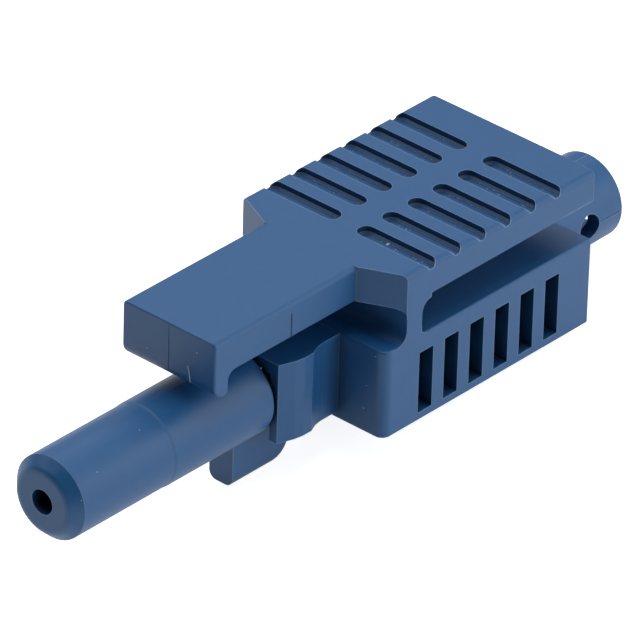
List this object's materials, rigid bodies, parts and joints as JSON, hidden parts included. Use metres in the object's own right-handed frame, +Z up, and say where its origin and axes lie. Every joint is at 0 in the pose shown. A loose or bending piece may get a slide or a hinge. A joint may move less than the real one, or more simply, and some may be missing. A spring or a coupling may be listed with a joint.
{
  "type": "optical audio connector",
  "caption": "One-piece plug for plastic optical fibre: round ferrule, side snap leaves, windowed body, crimp barrel and a web-hinged latch lever with a grooved thumb pad.",
  "frame": {"origin": "centre of the fibre's hole at the ferrule's tip face", "axes": "+X along the fibre from the tip to the cable end, +Z up to the latch lever's side, +Y to the plug's side, the plug being alike on both sides of the XZ plane"},
  "size_m": [0.03, 0.0082, 0.0082],
  "materials": {
    "body_plastic": "satin blue moulded plastic",
    "web_plastic": "satin blue moulded plastic",
    "lever_plastic": "satin blue moulded plastic"
  },
  "bodies": {
    "connector": {"connector_body": "body_plastic", "flex_web": "web_plastic"},
    "lever": {"latch_lever": "lever_plastic"}
  },
  "joints": [
    {"name": "lever_flex", "type": "hinge", "parent": "connector", "child": "lever", "pos_m": [0.01542, 0, 0.00245], "axis": [0, 1, 0], "range_deg": [0, 7], "stiffness_Nm_per_rad": 0.05, "deforming": ["flex_web"]}
  ]
}
